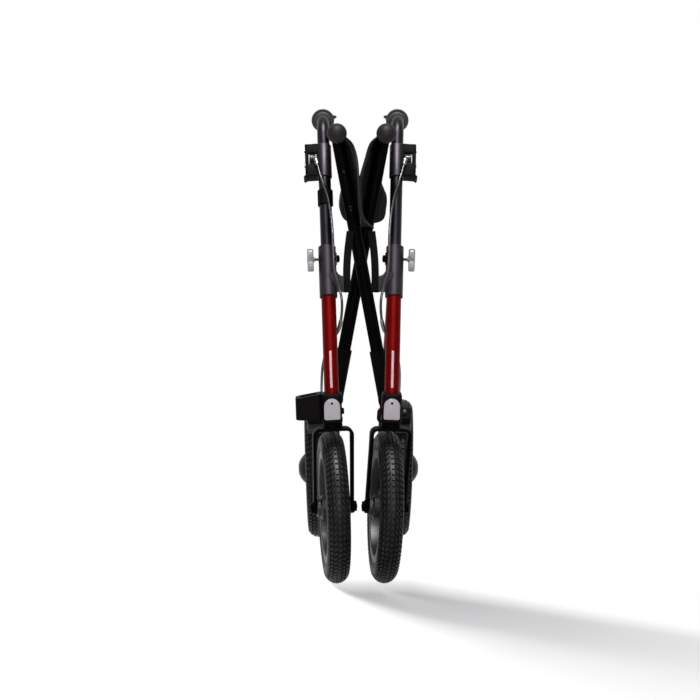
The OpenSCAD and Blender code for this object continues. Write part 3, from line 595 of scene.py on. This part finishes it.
# %% Caster heads with their plates
def arch(inset, w=30.0, h=25.0, n=28):
    """Outline of the plate: a rectangle whose top is a half circle, drawn in by the inset."""
    r = w / 2 - inset
    a = np.linspace(0, np.pi, n)
    top = np.stack([r * np.cos(a), h + r * np.sin(a)], -1)
    foot = [(-r, 3 + inset), (-r + 0.9, 0.9 + inset), (-r + 3, inset), (0, inset), (r - 3, inset),
            (r - 0.9, 0.9 + inset), (r, 3 + inset)]
    return np.concatenate([top, foot])


def upright_plate(grid, y, z):
    """Turns a stack that rises along its third axis to face forwards from y, standing on z."""
    return np.stack([grid[..., 0], y - grid[..., 2], z + grid[..., 1]], -1)


def facing_front(grid):
    """Turns a piece that points outwards so that it points forwards."""
    return grid[..., [1, 0, 2]] * (1, -1, 1)


def screw_head(r, h):
    """Round screw head along X: a low dome of height h with a six sided pocket drawn as a round dimple."""
    return lathe([(0, 0), (0, r), (h * 0.6, r), (h, r * 0.8), (h, r * 0.45), (h * 0.5, r * 0.4), (h * 0.5, 0)], 28)


face_y, plate_z = Y_STEER - 29, 324
head = stacked(lambda i: rounded_square(37 - 2 * i, 58 - 2 * i, 8.2 - i), 316, 372, 4.5) + (0, Y_STEER, 0)
collar = stacked(lambda i: rounded_square(38.4 - 2 * i, 59 - 2 * i, 8.6 - i), 318.5, 323, 1.2) + (0, Y_STEER, 0)
plate = upright_plate(stacked(arch, 0.1, 2.6, 0.7), face_y, plate_z)
rim_line = upright_plate(stacked(lambda i: arch(2.2 + i), 2.0, 3.0, 0.45), face_y, plate_z)
plate_screw = facing_front(screw_head(2.2, 1.2)) + (0, face_y - 2.9, 355)
side_bolt = screw_head(6, 4)
bolts = [plate_screw, side_bolt * (-1, 1, 1) + (-18.4, Y_STEER - 12, 338), side_bolt + (18.4, Y_STEER + 14, 338)]
pair("head", side, [head, collar], nylon, "black_plastic", "side", "caster_head")
pair("plate", side, [plate, rim_line], plate_grey, "reflector_grey", "side", "reflector")
pair("head_screws", side, bolts, powder_black, "steel", "side")

# %% Reflective tape on the legs
def leg_tape(t0, t1, half_angle, r=14.0):
    """Patch of the leg's surface: angle across, height along, lifted by 0.25 mm and turned down at its edges."""
    a = np.radians(np.linspace(-half_angle, half_angle, 13)) - np.pi / 2
    t = np.linspace(t0, t1, 40)
    lift = r + 0.25 * (1 - np.linspace(-1, 1, 13) ** 8)[None, :] * (1 - np.linspace(-1, 1, 40) ** 60)[:, None]
    outer = np.stack([lift * np.cos(a), lift * np.sin(a), np.broadcast_to(t[:, None], lift.shape)], -1)
    inner = 0 * lift + r - 0.3
    under = np.stack([inner * np.cos(a), inner * np.sin(a), outer[..., 2]], -1)
    return capped(np.concatenate([outer, under[:, ::-1]], 1))


pair("tape", leg_side, [leg_tape(38, 112, 9.5)], bead_tape, "reflector_grey", "side")

# %% [markdown]
# ## Clamp knobs
# A three lobed knob on a brass screw clamps each handle stem. The lobes are a wave in the radius, and
# the edge is rounded by drawing the outline in. The screw's far end shows its nut on the inner side.

# %% Knobs, screws and nuts
def lobes(inset, n=96):
    """Outline with three lobes: the radius is 12 mm between them and 24 mm at their tips, one lobe down the leg."""
    a = np.linspace(0, 2 * np.pi, n, endpoint=False)
    r = 12 + 12 * (0.5 + 0.5 * np.cos(3 * (a + np.pi / 2))) ** 0.75 - inset
    return np.stack([r * np.cos(a), r * np.sin(a)], -1)


def towards_side(grid, x):
    """Lays a stack so that it rises outwards from x, its outline in the rearward and along-leg axes."""
    return np.stack([x + grid[..., 2], grid[..., 0], grid[..., 1]], -1)


knob = towards_side(stacked(lobes, 0, 12, 2.6), 26.5) + KNOB
boss = lathe([(24.6, 3.2), (24.6, 5), (25.2, 5.6), (27, 5.8), (27, 3.2)], 40) + KNOB
cap = lathe([(38.3, 0), (38.3, 7.2), (38.9, 6.6), (39, 0)], 40) + KNOB
thread_x = np.linspace(12.6, 27, 116)
thread = lathe(np.stack([thread_x, 2.72 + 0.26 * np.cos(2 * np.pi * thread_x)], -1), 24) + KNOB
far_nut = hex_nut(-17.1, across=6.2, out=-1) + KNOB
pair("lobed_knob", leg_side, [knob, boss, cap], knob_grey, "knob_grey", "knob", "clamp_knob")
pair("knob_screw", leg_side, [capped(thread)], brass, "steel", "knob")
pair("knob_nut", leg_side, [far_nut], powder_black, "steel", "side")

# %% [markdown]
# ## Grips
# The grips are soft sleeves with a round guard in front, fine ribs for the fingers and a thicker end.
# One turned profile gives all of it. The guard has a small wing on its inner side, made by letting the
# radius grow near that direction.

# %% Ribbed grip
def ribbed_grip():
    """Profile along the grip: a guard of 22.5 mm radius, 30 ribs as a half wave of 0.7 mm on a slow swell for
    the palm, and a bulb at the end. On the guard the radius grows by 6 mm times a flat bell curve round one side."""
    guard = [(0.4, 12.1), (0.4, 15.5), (1.4, 16.4), (1.4, 18.2), (0.2, 19), (0, 20.6), (0.6, 22.1), (2, 22.5),
             (5, 22.5), (6.4, 22), (7, 20.8), (7.6, 17.5)]
    y = np.linspace(8, 110, 256)
    swell = 14.9 + 0.6 * np.sin(np.pi * (y - 8) / 102)
    ribs = np.stack([y, swell - 0.7 * np.abs(np.sin(np.pi * (y - 8) / 3.4)) ** 0.6], -1)
    bulb = [(111, 15.2), (112.5, 16.8), (115, 17.5), (121, 17.3), (123.6, 15.8), (124.8, 12), (125, 6), (125, 0)]
    inside = [(116.9, 0), (116.9, 12.1), (0.4, 12.1)]
    profile = np.concatenate([guard, ribs, bulb, inside])
    grid = lathe(profile, 72)
    a = np.linspace(0, 2 * np.pi, 72, endpoint=False)
    wing = 6.0 * np.exp(-(np.minimum(np.abs(a - np.pi + 0.25), 2) / 0.13) ** 4)
    grow = np.where((profile[:, 1] > 18) & (profile[:, 0] < 7.1), 1.0, 0.0)[:, None] * wing
    grid[..., 1] += grow * np.cos(a)
    grid[..., 2] += grow * np.sin(a)
    return grid[..., [1, 0, 2]]


grip = ribbed_grip() + GRIP_FRONT
pair("ribbed_grip", side, [grip], grip_rubber, "grip_rubber", "stem", "grip", sharp=50)

# %% [markdown]
# ## Brake clamps and levers
# A cast collar holds each brake lever on its stem, beside an open housing with a return spring and the
# barrel where the cable starts. The housing is made of rounded blocks round its slot, the spring is a
# thin round wire along a helix, and the lever is a flat bar carried from its pivot up and in under the
# grip.

# %% Brake clamps
def on_clamp(s, p):
    """A point of a brake clamp, with its height counted along the stem from the clamp's lower end."""
    return leg_side(s, p + CLAMP_FOOT)


collar = lathe([(0, 12.15), (0, 13.6), (0.9, 14.5), (67, 14.5), (70, 13), (70, 12.15), (0, 12.15)], 64)[..., [1, 2, 0]]
housing = [
    block(3, 15, -13, 17, 2, 68, 2.6), block(30, 37, -13, 17, 2, 68, 2.6), block(9, 37, -13, 17, 64, 68, 1.9),
    block(9, 37, -13, 17, 2, 6, 1.9), block(9, 37, -13, -5.2, 3, 24, 2.2), block(9, 37, -13, -5.2, 48, 67, 2.2),
    lathe([(13.5, 0), (13.5, 3), (31.5, 3), (31.5, 0)], 24) + (0, 10, 31),
]
lip_path = smooth_path([(12, 2, 3), (24, 2, 2.6), (32, 2, 2.2), (36.5, 2, 0.8), (39, 2, -1.5)])
lip = sweep(lip_path, rounded_square(29, 4.2, 1.6), Y_AXIS)
turns = np.linspace(0, 2 * np.pi * 5, 160)
coil = np.stack([16.4 + turns / turns[-1] * 11, -9.5 + 3.6 * np.cos(turns), 40 + 3.6 * np.sin(turns)], -1)
wire = np.concatenate([[(16.2, -10.5, 26), (16.3, -8, 34)], coil, [(27.6, -8, 44), (27.8, -10, 47)]])
spring = sweep(wire, circle(0.75, 10), np.array([1.0, 0.02, 0.01]))
pin_ends = [screw_head(4.4, 1.8) + (36.9, 10, 31), screw_head(3.4, 1.6) + (36.9, -4, 56)]
cable_start, cable_next = np.array([(13, -18, 20), (9, -19, 2)], float)
down = (cable_next - cable_start) / np.linalg.norm(cable_next - cable_start)
barrel_at = np.array([-15, -13.6, -12, -9, -6.4, -6, -5.6, -3, -1.2, 0.0])
barrel_r = np.array([3.4, 4.4, 4.6, 4.6, 4.6, 3.6, 4.6, 4.6, 4.2, 3.2])
barrel = sweep(cable_start + barrel_at[:, None] * down, circle(1, 24) * barrel_r[:, None, None], Y_AXIS)
pair("clamp_housing", on_clamp, housing + [lip], nylon, "black_plastic", "stem", "brake_clamp")
pair("clamp_collar", on_clamp, [collar], satin_grey, "black_plastic", "stem")
pair("clamp_fittings", on_clamp, [spring, barrel] + pin_ends, zinc, "steel", "stem")

# %% Levers
def lever_blade():
    """Smooth path from the pivot through the knee to the tip; the loop, 14 mm wide and 9 mm high at the pivot,
    narrows to 12 mm in the arm, widens to 14 by 8 mm along the blade and closes in at the tip."""
    path = smooth_path([LEVER_PIVOT, (22.5, -45, 811.8), (22.5, -19, 827), (19, -3, 831), (10, 8, 831),
                        (3, 20, 831), (0, 40, 831), (0, 70, 831), (0, 92, 831.5), (0, 101, 832)], 8)
    k = np.linspace(0, 1, len(path))
    close = 0.3 + 0.7 * np.clip((1 - k) / 0.05, 0, 1) ** 0.5 * np.clip(k / 0.02, 0, 1) ** 0.5
    w, h = (12 + 2 * k + 2.4 * np.clip(1 - k / 0.12, 0, 1)) * close, (9 - k) * close
    return sweep(path, rounded_square(h, w, np.minimum(w, h) * 0.36), Z_AXIS)


eye = lathe([(15.6, 3.06), (15.6, 6.2), (16.4, 7), (28.6, 7), (29.4, 6.2), (29.4, 3.06), (15.6, 3.06)], 40)
eye = eye + (0, *LEVER_PIVOT[1:])
pair("lever_blade", side, [lever_blade(), eye], satin_grey, "black_plastic", "lever", "brake_lever")

# %% [markdown]
# ## Brake cables
# A sheathed cable runs from each clamp barrel down past the stem, round the inner side of the leg and
# back along the lower rail to the rear brake. It is a round tube along a smooth curve through a row of
# points. In front of the clamp sleeve it stays close to the leg, so that the seat rail can come down
# beside it.

# %% Cables and their end sleeves
ROUTE = np.array([
    (13, -18, 494), (9, -19, 476), (3, -20, 455), (-5, -20, 425), (-10, -22, 385), (-12, -26, 345), (-12, -28, 305),
    (-13, -29, 270), (-20, -28, 240), (-25, -21, 212), (-24, -8, 188), (-19, 8, 168), (-8, 24, 150), (6, 44, 137),
    (16, 90, 118), (20, 160, 102), (21, 230, 102), (22, 290, 118), (23, 330, 132), (24, 365, 135), (24, 399, 122.5),
], float)
line = smooth_path(ROUTE, 12)
ACROSS_LINE = np.array([1.0, 0.05, 0.02])
cable = sweep(line, circle(2.5, 20), ACROSS_LINE)


def sleeve_on(line, at, radii):
    """Turned sleeve on the cable: the given radii, spread evenly over the points of the line in the range."""
    part = line[at]
    k = np.interp(np.linspace(0, 1, len(part)), np.linspace(0, 1, len(radii)), radii)
    return sweep(part, circle(1, 24) * k[:, None, None], ACROSS_LINE)


sleeves = [sleeve_on(line, slice(125, 139), [2.9, 3.9, 4, 4, 4, 3.9, 2.9]),
           sleeve_on(line, slice(-10, None), [2.8, 3.8, 4, 4, 4])]
for name, s in SIDES.items():
    made = piece(f"sheathed_cable_{name}", [leg_side(s, cable)], vinyl, "cable_black",
                 hides=[f"brake_cable_{name}"])
    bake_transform(made)
pair("cable_sleeves", leg_side, sleeves, zinc, "steel", "side")

# %% [markdown]
# ## Seat cloth
# The seat is a cloth that hangs from rail to rail. Folded, its two walls close up between the crossed
# struts, the front edge falls together in a narrow V, and behind the struts the slack bulges out to both
# sides. Each half is one sheet: it wraps round its rail as a hem, is stitched to itself, and runs down to
# the seam. Three cross-sections are drawn as smooth curves, in front of the struts, between them and
# behind, and the sheet passes from one to the next from front to back. The two halves meet at the seam.

# %% Woven cloth
def woven(name, dark, light, scale, sheen):
    """Plain weave: two waves at right angles along the cloth's own UV map, in metres, each lifting the threads
    that lie on top. A wave repeats every pi / (10 scale) metres: 0.75 mm on the seat and 1 mm on the straps,
    coarser than real threads, so that it shows."""
    made, tree = new_material(name)
    shader = tree.nodes["Principled BSDF"]
    cloth_map = add(tree, "UVMap", uv_map="cloth").outputs["UV"]
    waves = [add(tree, "TexWave", {"Vector": cloth_map}, wave_type="BANDS", bands_direction=way,
                 Scale=scale, Distortion=0.6, Detail=1.0) for way in ("X", "Y")]
    over = add(tree, "Math", {0: waves[0].outputs["Fac"], 1: waves[1].outputs["Fac"]}, operation="MULTIPLY")
    crease = add(tree, "TexNoise", {"Vector": cloth_map}, Scale=28.0, Detail=3.0)
    colour = two_tones(tree, over.outputs[0], dark, light)
    soft = add(tree, "Bump", {"Height": crease.outputs["Fac"]}, Distance=0.004, Strength=0.5)
    lift = add(tree, "Bump", {"Height": over.outputs[0], "Normal": soft.outputs["Normal"]}, Distance=0.0003)
    tree.links.new(colour, shader.inputs["Base Color"])
    tree.links.new(lift.outputs["Normal"], shader.inputs["Normal"])
    shader.inputs["Roughness"].default_value = 0.85
    shader.inputs["Specular IOR Level"].default_value = 0.1
    shader.inputs["Sheen Weight"].default_value = sheen
    return made


# Nylon seat cloth: charcoal brown, dull, with a soft sheen on its creases.
nylon_cloth = woven("woven_nylon_cloth", "#120f10", "#2c2727", 416.67, 0.06)
# Polyester webbing: black, tightly woven.
webbing = woven("polyester_webbing", "#050405", "#0f0d0e", 312.5, 0.02)

# %% The two halves of the sling
RAIL_X, RAIL_Z, HEM_R, CLOTH = 46.7, 857.1, 10.8, 1.4
# The seam lies halfway down the 360 mm over which each half blends from strut to strut, so it stays closed.
SEAM_DEPTH, Y_CLOTH = 180, (-229.0, -54.0)
EDGE = RAIL_X - HEM_R - 0.4
# The bulge behind the struts, down each half: place outwards and depth below the rail.
BULGE = {-1: [(32, 35), (30, 85), (39, 122), (40, 148), (28, 172)],
         1: [(33, 30), (39, 91), (50, 124), (50, 150), (42, 172)]}


def section(points):
    """Smooth curve of (place across, depth below the rail) through seven points, with ten steps to each."""
    x, depth = np.array(points, float).T
    return smooth_path(np.stack([x, 0 * x, depth], -1), 10)[:, [0, 2]]


def cloth_half(s):
    """One half of the cloth as a grid of (down the cloth, along the rail). It starts at the stitch line, goes once
    round the rail at radius HEM_R, then down the wall. The wall is front * f + back * b + middle * (1 - f - b),
    where f and b are steep S-curves of y at the faces of the struts; one ripple runs through both halves."""
    y = np.concatenate([np.linspace(Y_CLOTH[0], -165, 17), np.linspace(-163, -147, 11), np.linspace(-144, -96, 13),
                        np.linspace(-94, -76, 13), np.linspace(-73, Y_CLOTH[1], 6)])
    front_face, back_face = -155, -84.5
    f, b = 1 / (1 + np.exp((y - front_face) / 1.8)), 1 / (1 + np.exp((back_face - y) / 1.7))
    top = (s * EDGE, 3)
    front = section([top, (s * 17, 20), (s * 8, 50), (s - 4, 93), (s - 3, 140), (s + 4, 165), (24, SEAM_DEPTH)])
    middle = section([top, (s * 22.5, 20), (s * 12.4, 50), (s * 4.6, 76), (s * 1.2, 98), (s * 0.9, 132),
                      (0, SEAM_DEPTH)])
    back = section([top] + [(s * x, depth) for x, depth in BULGE[s]] + [(8, SEAM_DEPTH)])
    wall = front[:, None] * f[:, None] + back[:, None] * b[:, None] + middle[:, None] * (1 - f - b)[:, None]
    k = np.linspace(0, 1, len(wall))[:, None]
    wall[..., 0] += 0.9 * np.sin(2 * np.pi * (y / 41 + 2.1 * k)) * np.sin(np.pi * k) * (f + b)
    ring = np.radians(np.linspace(205, -180, 40))
    hem = np.stack([s * (RAIL_X + HEM_R * np.cos(ring)), -HEM_R * np.sin(ring)], -1)
    grid = np.concatenate([np.broadcast_to(hem[:, None], (len(hem), len(y), 2)), wall])
    return np.stack([grid[..., 0], np.broadcast_to(y, grid.shape[:2]), RAIL_Z - grid[..., 1]], -1) / 1000


def laid_flat(grid):
    """For each point, in metres: running length down the cloth, and place along the rail."""
    run = np.concatenate([[0], np.cumsum(np.linalg.norm(np.diff(grid.mean(1), axis=0), axis=1))])
    return np.stack([np.broadcast_to(run[:, None], grid.shape[:2]), grid[..., 1]], -1).reshape(-1, 2)


def lay_map(made, flat):
    """UV map for the weave, from a flat place for each point."""
    owner = np.empty(len(made.data.loops), np.int32)
    made.data.loops.foreach_get("vertex_index", owner)
    made.data.uv_layers.new(name="cloth").data.foreach_set("uv", flat[owner].astype(np.float32).ravel())


for name, s in SIDES.items():
    half = cloth_half(s)
    made = piece(f"seat_cloth_{name}", [half], nylon_cloth, "seat_cloth", wrap=(False, False), sharp=60)
    lay_map(made, laid_flat(half))
    thick = made.modifiers.new("thickness", "SOLIDIFY")
    thick.thickness, thick.offset = CLOTH / 1000, 0
    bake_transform(made)
    if s < 0:
        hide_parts("seat_sling")

# %% [markdown]
# ## Straps beside the crossing
# A strip of black webbing bridges the notch on each side where the struts cross, from the upper end of
# one strut to the lower end of the other. It bows between the two struts and rides on neither.

# %% Webbing straps
def strap_path(n=40, top=668, end=550):
    """Middle line of the right strap: going down it leans out by 6.5 mm, bows out by 3 mm halfway and waves by
    3 mm from front to back."""
    k = np.linspace(0, 1, n)
    x = 20.5 + 6.5 * k + 3 * np.sin(np.pi * k)
    z = top + (end - top) * k
    y = -158 + 3 * np.sin(2 * np.pi * k)
    return np.stack([x, y, z], -1)


strap = sweep(strap_path(), rounded_square(14.5, 2.2, 0.8), X_AXIS) / 1000
for name, s in SIDES.items():
    made = piece(f"strap_{name}", [strap * (s, 1, 1)], webbing, "seat_cloth")
    spots = np.empty(len(made.data.vertices) * 3, np.float32)
    made.data.vertices.foreach_get("co", spots)
    lay_map(made, spots.reshape(-1, 3)[:, [0, 2]])
    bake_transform(made)

# %% [markdown]
# ## Cane cup
# A moulded cup on the left caster head takes the foot of a walking stick. Its wall rises from a rounded
# square to a rolled lip and goes down again inside as a round bore. One stack of loops does that: the
# same number of points goes from the square to the circle.

# %% Moulded cup
def cane_cup(w=50.0, h=61.0, bore=19.0):
    """Loops up the outside (a rounded square with a band at the lip), over the lip and down the bore. All heights
    are squeezed to start at the foot. Towards the outer end the lip drops and the foot rises, evenly with the
    place across."""
    foot, drop, rise = 10, 8, 2
    z = np.array([0, 0.6, 2.4, 5, 20, 40, 54, 55, 56.5, 59.5, 60.7, 61])
    inset = np.array([2.6, 1.2, 0.3, 0.2, 0.2, 0.2, 0.2, 0.9, 0.1, 0.1, 0.7, 1.9])
    outer = rounded_square(w - 2 * inset, w - 2 * inset, 9 - inset * 0.8, 16)
    a = np.arctan2(outer[0, :, 1], outer[0, :, 0])
    ring = np.stack([np.cos(a), np.sin(a)], -1)
    r_in = bore + np.array([1.6, 0.5, 0, 0, -1.2, -3])
    z_in = np.array([61, 60.4, 59, 16, 15, 15])
    loops = np.concatenate([outer, r_in[:, None, None] * ring])
    height = np.concatenate([z, z_in])[:, None] + 0 * loops[..., 0]
    out = np.clip((loops[..., 0] + w / 2) / w, 0, 1)
    height = foot + rise * out + height * (h - foot - (drop + rise) * out) / h
    return capped(np.concatenate([loops, height[..., None]], -1)) + (43.6, Y_STEER, 312)


piece("stick_cup", [side(-1, cane_cup())], nylon, "black_plastic", "side_left", ["cane_cup"])

# %% [markdown]
# ## Small hardware
# Domed rivets on the front strut and a rounded head on the pivot bolt finish the bare spots that catch
# the light.

# %% Rivets and bolt heads
def on_strut(s, p):
    """From a strut's own axes (across, towards the back, up along it from the pivot) to metres."""
    x, n, t = np.moveaxis(np.asarray(p, float), -1, 0)
    a = -s * STRUT_LEAN
    height = PIVOT_Z - x * np.sin(a) + t * np.cos(a)
    return np.stack([x * np.cos(a) + t * np.sin(a), PIVOT_Y - s * STRUT_OFF + n, height], -1) / 1000


rivet = facing_front(screw_head(2.4, 1.6))
big_head = facing_front(screw_head(6.4, 4.5))
rivets = [on_strut(1, rivet + (0, -12.2, t)) for t in (104, 111, 179)]
piece("strut_rivets", rivets, satin_grey, "steel", "cross_strut_a")
piece("pivot_head", [on_strut(1, big_head + (0, -18.6, 0))], powder_black, "steel", "cross_strut_a")
